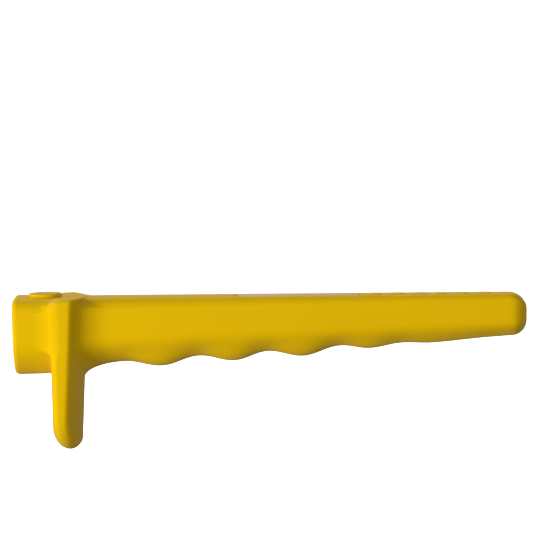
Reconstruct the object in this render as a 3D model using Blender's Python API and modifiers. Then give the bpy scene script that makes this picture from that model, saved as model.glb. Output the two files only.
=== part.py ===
"""Guarded one-hand tool handle with a push-button socket, as an assembly of separate parts.

Metres, +Z up. X runs along the socket's axis, from its mouth to the end of the grip. Stations along
the handle are counted from the plane of the mouth; the handle_frame empty moves them all, so that the
world origin is the centre of the face that a tool's shank stops on.
"""

import math

import bmesh
import bpy
from mathutils import Matrix, Vector

MM = 0.001
GAP = 0.3 * MM                  # clearance between touching pieces
CUT_PAST = 3 * MM               # how far a cutting shape goes past what it cuts
SEGMENTS = 28                   # round small circles
FINE_SEGMENTS = 40              # and larger ones

# Handle moulding: overall
HANDLE_LENGTH = 190 * MM
SEAT_DEPTH = 34 * MM            # mouth plane to the face that the shank stops on
FLAT_HEIGHT = 14.7 * MM         # flat thumb side above the axis, at the mouth
FLAT_SLOPE = 0.0176             # fall of the flat side towards the grip's end
GRIP_RISE = 0.0122              # slope of the grip's centre line
RISE_START = 24 * MM

# Socket
SOCKET_HALF_WIDTH = 15 * MM
SOCKET_DROP = 14.05 * MM         # axis to the round underside
SOCKET_CORNER = 6.5 * MM
SOCKET_SLIM = 0.035             # how much leaner than an ellipse the underside is
LIP_LENGTH = 1.8 * MM           # rounded outer edge of the mouth, along X
LIP_DEPTH = 1.3 * MM            # and across
WALL = 2.9 * MM
CAVITY_DEPTH = 24 * MM          # wide part, round the latch

# Hand guard: a lens-shaped tongue, flush with the flat side at its top
GUARD_HALF_WIDTH = 17.5 * MM
GUARD_TOP = 14.45 * MM
GUARD_DROP = 42.15 * MM
GUARD_TOP_CORNER = 2 * MM
GUARD_TIP_CORNER = 13.5 * MM
FRONT_X = 13.3 * MM             # front face at the middle
FRONT_BOW = 1.1 * MM            # how far the front face falls back at the edges
FRONT_FILLET = 3.9 * MM         # hollow between the socket's side and the front face
LEAN_FULL = 2.6 * MM            # proud by this or less, the front face leans all the way
LEAN_NONE = 5 * MM              # and proud by this, it stands upright
LEAN_SHIFT = 1.1 * MM           # set-back of the leaning face's edge
LEAN_RUN = 1.2                  # run along X for each unit of height of the leaning face
TOP_SHIFT = 1.6 * MM            # and its further set-back along the top
LEAST_FACING = 0.35             # keeps roundings moderate where the outline is seen edge-on
REAR_X = 25.75 * MM              # rear face at the middle, level with the socket's underside
REAR_BOW = 5.45 * MM             # how far the rear face comes forward at the edges
REAR_DRAFT = 0.06               # and towards the tip
SIDE_FRONT_ROUND = 2.1 * MM     # rounding of the front edge at the sides, along X
SIDE_FRONT_HEIGHT = 2.1 * MM    # and off the outline
SIDE_REAR_ROUND = 1.3 * MM
SIDE_REAR_HEIGHT = 1.3 * MM
TIP_FRONT_ROUND = 6.5 * MM
TIP_FRONT_HEIGHT = 8.5 * MM
TIP_REAR_ROUND = 3.8 * MM
REAR_FILLET_LENGTH = 14 * MM
REAR_FILLET_LEAST = 1 * MM
REAR_FILLET_SPREAD = 3.5
REAR_FILLET_HEIGHT = 4.8 * MM

# Grip
GRIP_START = 34 * MM
FINGER_X = 37 * MM              # where the finger side's base line starts
FINGER_DROP = 11.4 * MM
FINGER_SLOPE = 0.048
GRIP_X = 40 * MM
GRIP_HALF_WIDTH = 10.9 * MM
GRIP_TAPER = 0.02
FLAT_HALF_WIDTH = 5.35 * MM
LEAST_CORNER = 2 * MM
GRIP_SLIM = 0.085               # and the finger side
END_TOP_ROUND = 6.3 * MM
END_BOTTOM_ROUND = 5.2 * MM
GRIP_STATIONS = 34
# Hollows and crests of the finger side: station, height off the base line (mm)
FINGER_WAVE = (
    (30, -1.0), (40.3, -1.0), (54.6, 1.7), (68, -1.0), (81.5, 1.75), (93.6, -0.8), (107, 1.95),
    (120.5, -0.88), (132, 0.9), (143.3, -0.25), (155, 0.55), (178, 0), (200, 0),
)

# Hollow core of the grip
CORE_END = 180 * MM
CORE_WALL = 2.6 * MM
CORE_DROP = 8.1 * MM            # below the axis, at the start of the core
CORE_SLOPE = 0.0397

# Label recess and raised dashes in the flat side
RECESS_START = 82.4 * MM
RECESS_END = 128.2 * MM
RECESS_WIDTH = 9 * MM
RECESS_DEPTH = 0.8 * MM
LABEL_THICKNESS = 0.4 * MM
LABEL_SINK = 0.1 * MM           # label's face below the flat
DASH_STARTS = (131.5, 139.5, 147.5, 155.5, 163.5, 171.5)
DASH_LENGTH = 5 * MM
DASH_WIDTH = 5.2 * MM
DASH_HEIGHT = 0.35 * MM
DASH_ROOT = 0.5 * MM            # sunk into the moulding

# Push button and latch
BUTTON_X = 11.7 * MM
BUTTON_RADIUS = 6.175 * MM
BUTTON_PROUD = 1.4 * MM
BUTTON_EDGE = 0.5 * MM
BUTTON_NECK = 5.1 * MM
BUTTON_LIP = 5.8 * MM
BUTTON_LIP_EDGE = 0.6 * MM      # height of the lip's edge
BUTTON_LIP_TAPER = 0.4 * MM     # and of the taper that lets it snap through
BUTTON_BORE = 3.9 * MM
BUTTON_CROWN = 1.6 * MM         # thickness of the button's top
PLATE_TOP = 11.1 * MM
PLATE_THICKNESS = 1.2 * MM
PLATE_LENGTH = 15 * MM
LEG_LENGTH = 6 * MM
LOOP_INNER = 7.9 * MM
LOOP_OUTER = 9.1 * MM
LOOP_CHAMFER = 1.6 * MM
CATCH_TOP = -5 * MM
CATCH_HALF_WIDTH = 2.5 * MM
CATCH_LENGTH = 4 * MM
CATCH_ROOT = 0.5 * MM           # sunk into the loop
CATCH_LEAD = 1.2 * MM           # slope that the shank rides over

# Sleeve, seal, buffer, tube
SLEEVE_TOP = 6.2 * MM
SLEEVE_RADIUS = 7.4 * MM
SLEEVE_WALL = 1.2 * MM
SLEEVE_CORNER = 2.2 * MM
BORE_CORNER = 1.2 * MM
COLLAR_SINK = 0.8 * MM
COLLAR_THICKNESS = 1.4 * MM
SEAL_WIDTH = 1.0 * MM
SEAL_LENGTH = 2.4 * MM
PAD_HEIGHT = 1 * MM             # the buffer's pad, in the end of the sleeve's bore
BUFFER_LENGTH = 6 * MM          # with the pad
SPIGOT_RADIUS = 4.5 * MM
SPIGOT_END = 47 * MM
TUBE_END = 134 * MM
TUBE_RADIUS = 6 * MM
TUBE_WALL = 1.2 * MM
TUBE_HEIGHT = 2.9 * MM          # tube's axis above the socket's axis

# Spring and its seat
SEAT_RADIUS = 3.6 * MM
SEAT_THICKNESS = 0.7 * MM
BOSS_RADIUS = 2.2 * MM
BOSS_HEIGHT = 1.4 * MM
COIL_RADIUS = 3.1 * MM
WIRE_RADIUS = 0.35 * MM
COIL_TURNS = 4.5
COIL_STEPS = 14

COLLECTION = "guarded_handle"


# ---------------------------------------------------------------- shapes of the sections

def rounded_rectangle(across, along, half_width, reach, corner):
    """Distance from the centre to a rounded corner's outline, in the direction (across, along)."""
    flat_end = half_width - corner
    side_end = reach - corner
    if across * reach <= along * flat_end:
        return reach / along
    if along * half_width <= across * side_end:
        return half_width / across
    offset = across * side_end - along * flat_end
    middle = across * flat_end + along * side_end
    return middle + math.sqrt(max(0.0, corner ** 2 - offset ** 2))


def d_section(across, along, half_width, top, bottom, corner, slim=0.0):
    """A D on its back: flat on top with rounded corners, below half an oval, leaner by slim."""
    if along <= 0:
        oval = 1 / math.hypot(across / half_width, along / bottom)
        return oval * (1 - slim * (2 * across * along) ** 2)
    return rounded_rectangle(across, along, half_width, top, corner)


def eased(share):
    """A smooth step from 0 to 1."""
    share = min(1.0, max(0.0, share))
    return (1 - math.cos(math.pi * share)) / 2


def finger_wave(x):
    """Height of the finger side off its base line, eased from each hollow to the next crest."""
    for (x0, h0), (x1, h1) in zip(FINGER_WAVE, FINGER_WAVE[1:]):
        if x <= x1 * MM:
            return (h0 + (h1 - h0) * eased((x / MM - x0) / (x1 - x0))) * MM
    return 0.0


def centre_height(x):
    """Height of the line that the sections are drawn round."""
    if x < RISE_START:
        return GRIP_RISE * x * x / (2 * RISE_START)
    return GRIP_RISE * (x - RISE_START / 2)


def flat_height(x):
    return FLAT_HEIGHT - FLAT_SLOPE * x


def grip_half_width(x):
    return GRIP_HALF_WIDTH - GRIP_TAPER * (x - GRIP_X)


def socket_radius(x, across, along):
    rise = centre_height(x)
    return d_section(across, along, SOCKET_HALF_WIDTH, flat_height(x) - rise, SOCKET_DROP + rise,
                     SOCKET_CORNER, SOCKET_SLIM)


def grip_radius(x, across, along):
    rise = centre_height(x)
    drop = FINGER_DROP - FINGER_SLOPE * (x - FINGER_X) + finger_wave(x)
    width = grip_half_width(x)
    corner = max(LEAST_CORNER, width - FLAT_HALF_WIDTH)
    return d_section(across, along, width, flat_height(x) - rise, drop + rise, corner,
                     GRIP_SLIM)


def guard_radius(across, along):
    if along <= 0:
        return rounded_rectangle(across, -along, GUARD_HALF_WIDTH, GUARD_DROP, GUARD_TIP_CORNER)
    return rounded_rectangle(across, along, GUARD_HALF_WIDTH, GUARD_TOP, GUARD_TOP_CORNER)


def core_radius(x, across, along):
    rise = centre_height(x)
    drop = CORE_DROP - CORE_SLOPE * (x - CAVITY_DEPTH)
    width = grip_half_width(x) - CORE_WALL
    return d_section(across, along, width, flat_height(x) - WALL - rise, drop + rise, width / 2)


def cavity_radius(x, across, along):
    rise = centre_height(x)
    return d_section(across, along, SOCKET_HALF_WIDTH - WALL, flat_height(x) - WALL - rise,
                     SOCKET_DROP - WALL + rise, SOCKET_CORNER - WALL)


# ---------------------------------------------------------------- profile of the handle

def quarter(steps):
    """(sine, cosine) pairs from just after 0 to 90 degrees."""
    return [(math.sin(k / steps * math.pi / 2), math.cos(k / steps * math.pi / 2))
            for k in range(1, steps + 1)]


def spaced(start, end, steps):
    """Evenly spaced values after start, up to and with end."""
    return [start + (end - start) * k / steps for k in range(1, steps + 1)]


def outline_normal(across, along, radius, half_width, reach, corner):
    """Outward direction of a rounded rectangle's outline at a point of it."""
    side = max(0.0, radius * across - half_width + corner)
    end = max(0.0, radius * along - reach + corner)
    length = math.hypot(side, end)
    return side / length, end / length


def rounded_corner(before, corner, after, steps):
    """Points of a rounded corner, from just after before up to and with after."""
    return [tuple(c + (b - c) * (1 - s) + (a - c) * (1 - t)
                  for b, c, a in zip(before, corner, after))
            for s, t in quarter(steps)]


def outer_profile(angle):
    """(x, radius) points of the outer skin in one direction, from the mouth to the grip's end."""
    across = abs(math.sin(angle))
    along = math.cos(angle)
    root = socket_radius(FRONT_X, across, along)
    foot = grip_radius(GRIP_START, across, along)
    edge = guard_radius(across, along)
    if along > 0:
        side, end = outline_normal(across, along, edge, GUARD_HALF_WIDTH, GUARD_TOP,
                                   GUARD_TOP_CORNER)
        tip, top = 0.0, end ** 2
    else:
        side, end = outline_normal(across, -along, edge, GUARD_HALF_WIDTH, GUARD_DROP,
                                   GUARD_TIP_CORNER)
        tip, top = end ** 2, 0.0
    stretch = 1 / max(LEAST_FACING, side * across + end * abs(along))
    front_height = max(0.0, edge - root)
    rear_height = max(0.0, edge - foot)
    lean = 1 - eased((front_height - LEAN_FULL) / (LEAN_NONE - LEAN_FULL))
    edge = max(edge, root)

    def front_face(r):
        upright = FRONT_X + FRONT_BOW * (r * across / GUARD_HALF_WIDTH) ** 2
        return upright + lean * (LEAN_SHIFT + TOP_SHIFT * top - LEAN_RUN * (edge - r))

    def rear_face(r):
        below = -r * along - SOCKET_DROP
        return REAR_X - REAR_BOW * (r * across / GUARD_HALF_WIDTH) ** 2 - REAR_DRAFT * below

    # Socket wall, up to the hollow that leads to the guard's front face
    hollow = GAP + FRONT_FILLET * lean
    hollow_height = min(hollow, front_height / 2)
    heel = front_face(root)
    wall = [(LIP_LENGTH * (1 - c), socket_radius(0, across, along) - LIP_DEPTH * (1 - s))
            for s, c in [(0.0, 1.0)] + quarter(4)]
    wall += [(x, socket_radius(x, across, along)) for x in spaced(LIP_LENGTH, heel - hollow, 3)]

    # Front face and its rounded edge
    reach = (SIDE_FRONT_HEIGHT * (1 - tip) + TIP_FRONT_HEIGHT * tip) * stretch
    reach = min(reach, front_height / 2)
    run = SIDE_FRONT_ROUND * (1 - tip) + TIP_FRONT_ROUND * tip
    brow = front_face(edge)
    front = [wall[-1]]
    hollow_top = root + hollow_height
    front += rounded_corner(wall[-1], (heel, root), (front_face(hollow_top), hollow_top), 4)
    front += [(front_face(r), r) for r in spaced(hollow_top, edge - reach, 3)]
    front += rounded_corner(front[-1], (brow, edge), (brow + run, edge), 5)

    # Rounded rear edge, rear face and the long hollow down to the grip
    back = rear_face(edge)
    run = min(SIDE_REAR_ROUND * (1 - tip) + TIP_REAR_ROUND * tip, back - front[-1][0])
    reach = min(TIP_REAR_ROUND * tip + SIDE_REAR_HEIGHT * (1 - tip) * stretch, rear_height / 2)
    rear = [front[-1], (back - run, edge)]
    shoulder = edge - reach
    rear += rounded_corner(rear[-1], (back, edge), (rear_face(shoulder), shoulder), 5)
    rise = min(REAR_FILLET_HEIGHT, 0.98 * (rear_height - reach))
    rear += [(rear_face(r), r) for r in spaced(shoulder, foot + rise, 3)]
    start = rear_face(foot + rise)
    length = min(REAR_FILLET_LENGTH, REAR_FILLET_LEAST + REAR_FILLET_SPREAD * rise)
    for s, c in quarter(6):
        x = start + length * (1 - c)
        rear.append((x, grip_radius(max(x, REAR_X), across, along) + rise * (1 - s)))

    end_round = END_BOTTOM_ROUND + (END_TOP_ROUND - END_BOTTOM_ROUND) * (1 + along) / 2
    last = HANDLE_LENGTH - end_round
    grip = [rear[-1]]
    grip += [(x, grip_radius(x, across, along))
             for x in spaced(start + length, last, GRIP_STATIONS)]
    end = [grip[-1]]
    for s, c in quarter(5):
        x = last + end_round * s
        end.append((x, grip_radius(x, across, along) - end_round * (1 - c)))
    return wall + front[1:] + rear[1:] + grip[1:] + end[1:]


def inner_profile(angle):
    """(x, radius) points of the hollow in one direction, from the core's end out to the mouth."""
    across = abs(math.sin(angle))
    along = math.cos(angle)
    points = [(x, core_radius(x, across, along))
              for x in [CORE_END] + spaced(CORE_END, CAVITY_DEPTH, 6)]
    points += [(x, cavity_radius(x, across, along))
               for x in [CAVITY_DEPTH] + spaced(CAVITY_DEPTH, 0, 5)]
    return points


def ring_angles():
    """Directions round the axis, closer together at the corners of the flat side and the guard."""
    half = sorted({*range(0, 181, 10), 24, 35, 45, 49, 53, 57, 65, 75})
    full = half + [360 - a for a in reversed(half[1:-1])]
    return [math.radians(a) for a in full]


# ---------------------------------------------------------------- building helpers

def collection(name):
    made = bpy.data.collections.new(name)
    bpy.context.scene.collection.children.link(made)
    return made


def material(name, colour, roughness, metallic=0.0):
    made = bpy.data.materials.new(name)
    made.use_nodes = True
    shader = made.node_tree.nodes["Principled BSDF"]
    shader.inputs["Base Color"].default_value = (*colour, 1)
    shader.inputs["Roughness"].default_value = roughness
    shader.inputs["Metallic"].default_value = metallic
    return made


def add_object(name, bm, where, finish=None, location=(0, 0, 0)):
    """Turns a bmesh into a named object in one collection, parented to the handle's frame."""
    bmesh.ops.recalc_face_normals(bm, faces=bm.faces)
    mesh = bpy.data.meshes.new(name)
    bm.to_mesh(mesh)
    bm.free()
    made = bpy.data.objects.new(name, mesh)
    where.objects.link(made)
    made.location = location
    made.parent = handle_frame
    if finish:
        mesh.materials.append(finish)
    mesh.shade_smooth()
    mesh.set_sharp_from_angle(angle=math.radians(35))
    return made


def ring_loft(rings, closed=False):
    """A skin through rings of equal length: capped at both ends, or joined end to end."""
    bm = bmesh.new()
    made = [[bm.verts.new(p) for p in ring] for ring in rings]
    count = len(made[0])
    pairs = list(zip(made, made[1:]))
    if closed:
        pairs.append((made[-1], made[0]))
    for first, second in pairs:
        for i in range(count):
            j = (i + 1) % count
            bm.faces.new((first[i], first[j], second[j], second[i]))
    if not closed:
        bm.faces.new(made[0])
        bm.faces.new(made[-1])
    return bm


def d_ring(x, half_width, top, bottom, corner):
    """Points of a D section round the axis at station x."""
    ring = []
    for angle in spaced(0, 2 * math.pi, SEGMENTS):
        across, along = math.sin(angle), math.cos(angle)
        r = d_section(abs(across), along, half_width, top, bottom, corner)
        ring.append((x, r * across, r * along))
    return ring


def mouth_ring(x, inset):
    """The cavity's own D section just inside the mouth, drawn in by the inset."""
    inset += WALL
    return d_ring(x, SOCKET_HALF_WIDTH - inset, flat_height(COLLAR_SINK + SEAL_LENGTH) - inset,
                  SOCKET_DROP - inset, SOCKET_CORNER - inset)


def box(low, high):
    bm = bmesh.new()
    bmesh.ops.create_cube(bm, size=1)
    size = Vector(high) - Vector(low)
    middle = (Vector(high) + Vector(low)) / 2
    bmesh.ops.transform(bm, matrix=Matrix.Translation(middle) @ Matrix.Diagonal((*size, 1)),
                        verts=bm.verts)
    return bm


def cylinder(radius, low, high):
    """An upright cylinder on the Z axis, from below one height to above another."""
    bm = bmesh.new()
    middle = Matrix.Translation((0, 0, (low + high) / 2))
    bmesh.ops.create_cone(bm, cap_ends=True, segments=FINE_SEGMENTS, radius1=radius,
                          radius2=radius, depth=high - low + 2 * CUT_PAST, matrix=middle)
    return bm


def turned(name, profile, where, finish, location=(0, 0, 0), steps=SEGMENTS):
    """A profile of (radius, height) points, turned round Z by a Screw modifier."""
    bm = bmesh.new()
    verts = [bm.verts.new((r, 0, z)) for r, z in profile]
    for a, b in zip(verts, verts[1:]):
        bm.edges.new((a, b))
    made = add_object(name, bm, where, finish, location)
    screw = made.modifiers.new("turn", "SCREW")
    screw.steps = steps
    screw.render_steps = steps
    screw.use_merge_vertices = True
    screw.merge_threshold = 0.00001
    return made


def boolean(target, tool, operation="DIFFERENCE"):
    tool.hide_render = True
    tool.display_type = "WIRE"
    made = target.modifiers.new(tool.name, "BOOLEAN")
    made.operation = operation
    made.object = tool
    return made


# ---------------------------------------------------------------- the parts

def handle_body(parts, cutters, finish):
    """The moulding: socket, hand guard and finger-grooved grip round one open hollow."""
    angles = ring_angles()
    lines = [inner_profile(a) + outer_profile(a) for a in angles]
    rings = []
    for station in range(len(lines[0])):
        ring = []
        for angle, line in zip(angles, lines):
            x, r = line[station]
            ring.append((x, r * math.sin(angle), r * math.cos(angle) + centre_height(x)))
        rings.append(ring)
    body = add_object("handle_body", ring_loft(rings), parts, finish)
    top = flat_height(BUTTON_X)
    hole = add_object("button_hole", cylinder(BUTTON_RADIUS + GAP, top - WALL, top), cutters,
                      location=(BUTTON_X, 0, 0))
    boolean(body, hole)
    boolean(body, on_flat("label_recess", RECESS_START, RECESS_END, RECESS_WIDTH,
                          -RECESS_DEPTH, CUT_PAST, cutters))
    for k, start in enumerate(DASH_STARTS):
        start *= MM
        dash = on_flat(f"dash_{k + 1}", start, start + DASH_LENGTH, DASH_WIDTH,
                       -DASH_ROOT, DASH_HEIGHT, cutters)
        boolean(body, dash, "UNION")
    return body


def on_flat(name, start, end, width, low, high, where, finish=None):
    """A block that lies along the flat side, from low to high off its surface."""
    bm = box((start, -width / 2, low), (end, width / 2, high))
    made = add_object(name, bm, where, finish)
    made.rotation_euler = (0, math.atan(FLAT_SLOPE), 0)
    made.location = (0, 0, FLAT_HEIGHT)
    return made


def label_plate(parts, finish):
    """Blank strip on the floor of the recess."""
    return on_flat("label_plate", RECESS_START + GAP, RECESS_END - GAP, RECESS_WIDTH - 2 * GAP,
                   -LABEL_SINK - LABEL_THICKNESS, -LABEL_SINK, parts, finish)


def lock_button(parts, finish):
    """Hollow round button with a snap lip that passes through the latch's plate."""
    top = flat_height(BUTTON_X) + BUTTON_PROUD
    shoulder = PLATE_TOP + GAP
    lip_top = PLATE_TOP - PLATE_THICKNESS - GAP
    lip_low = lip_top - BUTTON_LIP_EDGE
    bottom = lip_low - BUTTON_LIP_TAPER
    crown = top - BUTTON_CROWN
    edge = BUTTON_EDGE * (1 - math.sqrt(0.5))
    profile = [
        (0, top), (BUTTON_RADIUS - BUTTON_EDGE, top),
        (BUTTON_RADIUS - edge, top - edge), (BUTTON_RADIUS, top - BUTTON_EDGE),
        (BUTTON_RADIUS, shoulder), (BUTTON_NECK, shoulder), (BUTTON_NECK, lip_top),
        (BUTTON_LIP, lip_top), (BUTTON_LIP, lip_low), (BUTTON_NECK, bottom),
        (BUTTON_BORE, bottom), (BUTTON_BORE, crown), (0, crown),
    ]
    return turned("lock_button", profile, parts, finish, (BUTTON_X, 0, 0), FINE_SEGMENTS)


def latch_stirrup(parts, cutters, finish):
    """Steel loop: a plate under the button, two legs round the sleeve, and the catch below."""
    plate_low = PLATE_TOP - PLATE_THICKNESS
    bend = spaced(0, math.pi, SEGMENTS // 2)
    outline = [(LOOP_OUTER - LOOP_CHAMFER, PLATE_TOP), (LOOP_OUTER, PLATE_TOP - LOOP_CHAMFER),
               (LOOP_OUTER, 0)]
    outline += [(LOOP_OUTER * math.cos(a), -LOOP_OUTER * math.sin(a)) for a in bend]
    outline += [(-LOOP_OUTER, PLATE_TOP - LOOP_CHAMFER), (LOOP_CHAMFER - LOOP_OUTER, PLATE_TOP)]
    inside = [(LOOP_CHAMFER - LOOP_INNER, plate_low), (-LOOP_INNER, plate_low - LOOP_CHAMFER),
              (-LOOP_INNER, 0)]
    inside += [(-LOOP_INNER * math.cos(a), -LOOP_INNER * math.sin(a)) for a in bend]
    inside += [(LOOP_INNER, plate_low - LOOP_CHAMFER), (LOOP_INNER - LOOP_CHAMFER, plate_low)]
    half = LEG_LENGTH / 2
    loop = ring_loft([
        [(-half, y, z) for y, z in outline], [(half, y, z) for y, z in outline],
        [(half, y, z) for y, z in reversed(inside)], [(-half, y, z) for y, z in reversed(inside)],
    ], closed=True)
    made = add_object("latch_stirrup", loop, parts, finish, (BUTTON_X, 0, 0))
    half = PLATE_LENGTH / 2
    width = LOOP_OUTER - LOOP_CHAMFER
    plate = add_object("stirrup_plate", box((-half, -width, plate_low), (half, width, PLATE_TOP)),
                       cutters, location=(BUTTON_X, 0, 0))
    catch = box((-CATCH_LENGTH / 2, -CATCH_HALF_WIDTH, -LOOP_INNER - CATCH_ROOT),
                (CATCH_LENGTH / 2, CATCH_HALF_WIDTH, CATCH_TOP))
    for vert in catch.verts:
        if vert.co.x < 0 and vert.co.z > -LOOP_INNER:
            vert.co.z -= CATCH_LEAD
    catch = add_object("stirrup_catch", catch, cutters, location=(BUTTON_X, 0, 0))
    eye = add_object("stirrup_eye", cylinder(BUTTON_NECK + GAP, plate_low, PLATE_TOP), cutters,
                     location=(BUTTON_X, 0, 0))
    boolean(made, plate, "UNION")
    boolean(made, catch, "UNION")
    boolean(made, eye)
    return made


def spring_seat(parts, finish):
    """Washer with a boss that centres the foot of the spring."""
    low = SLEEVE_TOP + GAP
    top = low + SEAT_THICKNESS
    profile = [(0, top + BOSS_HEIGHT), (BOSS_RADIUS, top + BOSS_HEIGHT), (BOSS_RADIUS, top),
               (SEAT_RADIUS, top), (SEAT_RADIUS, low), (0, low)]
    return turned("spring_seat", profile, parts, finish, (BUTTON_X, 0, 0))


def button_spring(parts, finish):
    """Coil spring between the seat and the inside of the button's crown."""
    foot = SLEEVE_TOP + 2 * GAP + SEAT_THICKNESS + WIRE_RADIUS
    head = flat_height(BUTTON_X) + BUTTON_PROUD - BUTTON_CROWN - GAP - WIRE_RADIUS
    count = round(COIL_TURNS * COIL_STEPS)
    curve = bpy.data.curves.new("button_spring_wire", "CURVE")
    curve.dimensions = "3D"
    curve.bevel_depth = WIRE_RADIUS
    curve.bevel_resolution = 1
    curve.use_fill_caps = True
    spline = curve.splines.new("POLY")
    spline.points.add(count)
    for k, point in enumerate(spline.points):
        angle = 2 * math.pi * k / COIL_STEPS
        z = foot + (head - foot) * k / count
        point.co = (COIL_RADIUS * math.cos(angle), COIL_RADIUS * math.sin(angle), z, 1)
    made = bpy.data.objects.new("button_spring", curve)
    parts.objects.link(made)
    made.location = (BUTTON_X, 0, 0)
    made.parent = handle_frame
    curve.materials.append(finish)
    return made


def socket_sleeve(parts, cutters, finish):
    """D-shaped steel sleeve with a collar at the mouth and a slot for the catch."""
    end = SEAT_DEPTH + PAD_HEIGHT - GAP
    collar_back = COLLAR_SINK + COLLAR_THICKNESS

    def outer(x):
        return d_ring(x, SLEEVE_RADIUS, SLEEVE_TOP, SLEEVE_RADIUS, SLEEVE_CORNER)

    def collar(x):
        return mouth_ring(x, 2 * GAP + SEAL_WIDTH)

    rings = [bore_ring(end, 0), bore_ring(COLLAR_SINK, 0), collar(COLLAR_SINK),
             collar(collar_back), outer(collar_back), outer(end)]
    made = add_object("socket_sleeve", ring_loft(rings, closed=True), parts, finish)
    half_length = CATCH_LENGTH / 2 + GAP
    half_width = CATCH_HALF_WIDTH + GAP
    slot = box((BUTTON_X - half_length, -half_width, -SLEEVE_RADIUS - CUT_PAST),
               (BUTTON_X + half_length, half_width, CATCH_TOP + GAP))
    boolean(made, add_object("catch_slot", slot, cutters))
    return made


def bore_ring(x, inset):
    """The sleeve's D-shaped bore, drawn in by the inset."""
    radius = SLEEVE_RADIUS - SLEEVE_WALL - inset
    return d_ring(x, radius, SLEEVE_TOP - SLEEVE_WALL - inset, radius, BORE_CORNER - inset)


def mouth_seal(parts, finish):
    """Rubber ring between the sleeve's collar and the moulding."""
    start = COLLAR_SINK
    end = start + SEAL_LENGTH
    inset = GAP + SEAL_WIDTH
    rings = [mouth_ring(start, inset), mouth_ring(start, GAP), mouth_ring(end, GAP),
             mouth_ring(end, inset)]
    return add_object("mouth_seal", ring_loft(rings, closed=True), parts, finish)


def shank_buffer(parts, finish):
    """Rubber plug: a pad in the sleeve's end, and a spigot in the tube behind it."""
    shoulder = SEAT_DEPTH + PAD_HEIGHT
    back = SEAT_DEPTH + BUFFER_LENGTH

    def outer(x):
        ring = []
        for angle in spaced(0, 2 * math.pi, SEGMENTS):
            across, along = math.sin(angle), math.cos(angle)
            r = core_radius(back, abs(across), along) - GAP
            ring.append((x, r * across, r * along + centre_height(back)))
        return ring

    def spigot(x):
        return [(x, SPIGOT_RADIUS * math.sin(a), SPIGOT_RADIUS * math.cos(a) + TUBE_HEIGHT)
                for a in spaced(0, 2 * math.pi, SEGMENTS)]

    rings = [bore_ring(SEAT_DEPTH, GAP), bore_ring(shoulder, GAP), outer(shoulder), outer(back),
             spigot(back), spigot(SPIGOT_END)]
    return add_object("shank_buffer", ring_loft(rings), parts, finish)


def core_tube(parts, finish):
    """Tube that stiffens the hollow grip."""
    start = SEAT_DEPTH + BUFFER_LENGTH + GAP
    inner = TUBE_RADIUS - TUBE_WALL
    length = TUBE_END - start
    profile = [(TUBE_RADIUS, length), (TUBE_RADIUS, 0), (inner, 0), (inner, length),
               (TUBE_RADIUS, length)]
    made = turned("core_tube", profile, parts, finish, (start, 0, TUBE_HEIGHT))
    made.rotation_euler = (0, math.radians(90), 0)
    return made


# ---------------------------------------------------------------- the assembly

for old in list(bpy.data.objects):
    bpy.data.objects.remove(old)

handle_parts = collection(COLLECTION)
tool_shapes = collection("cutters")
handle_frame = bpy.data.objects.new("handle_frame", None)
handle_parts.objects.link(handle_frame)
handle_frame.location = (-SEAT_DEPTH, 0, 0)

yellow = material("yellow_moulding", (0.79, 0.48, 0.0), 0.42)
label_grey = material("label_grey", (0.53, 0.37, 0.13), 0.5)
steel = material("pressed_steel", (0.56, 0.57, 0.58), 0.35, 1.0)
spring_steel = material("spring_steel", (0.5, 0.5, 0.52), 0.3, 1.0)
black_rubber = material("black_rubber", (0.02, 0.02, 0.02), 0.8)
aluminium = material("aluminium_tube", (0.8, 0.81, 0.82), 0.35, 1.0)

handle_body(handle_parts, tool_shapes, yellow)
label_plate(handle_parts, label_grey)
lock_button(handle_parts, yellow)
latch_stirrup(handle_parts, tool_shapes, steel)
spring_seat(handle_parts, steel)
button_spring(handle_parts, spring_steel)
socket_sleeve(handle_parts, tool_shapes, steel)
mouth_seal(handle_parts, black_rubber)
shank_buffer(handle_parts, black_rubber)
core_tube(handle_parts, aluminium)
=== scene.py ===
"""Looks of the guarded tool handle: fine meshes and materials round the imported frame.

Metres, +Z up, in the frame's own axes. Stations along the handle, the x of the functions below, are
counted from the plane of its mouth, and moved to the frame's own x when a mesh is made.
"""

import math

import bmesh
import bpy
import numpy as np
from mathutils import Matrix, Vector


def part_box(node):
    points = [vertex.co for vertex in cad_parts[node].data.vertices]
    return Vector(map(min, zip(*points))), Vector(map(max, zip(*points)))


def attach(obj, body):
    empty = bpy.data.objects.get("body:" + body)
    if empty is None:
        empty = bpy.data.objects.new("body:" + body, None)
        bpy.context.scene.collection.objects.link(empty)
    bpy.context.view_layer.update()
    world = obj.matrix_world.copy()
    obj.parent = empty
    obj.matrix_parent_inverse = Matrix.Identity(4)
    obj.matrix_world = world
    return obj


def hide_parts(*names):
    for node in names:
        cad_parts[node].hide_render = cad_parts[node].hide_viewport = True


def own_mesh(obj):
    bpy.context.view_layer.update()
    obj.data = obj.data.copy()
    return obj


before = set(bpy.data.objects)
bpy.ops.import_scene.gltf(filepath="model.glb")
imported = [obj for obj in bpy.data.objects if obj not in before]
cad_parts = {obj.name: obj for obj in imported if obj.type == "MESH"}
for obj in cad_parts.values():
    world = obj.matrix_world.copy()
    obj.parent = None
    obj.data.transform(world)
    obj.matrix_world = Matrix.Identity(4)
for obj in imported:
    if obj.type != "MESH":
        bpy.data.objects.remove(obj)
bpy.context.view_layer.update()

MM = 0.001
TINY = 1e-9
GAP = 0.3 * MM                  # clearance between neighbouring pieces

# ---------------------------------------------------------------- sizes and places

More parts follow.
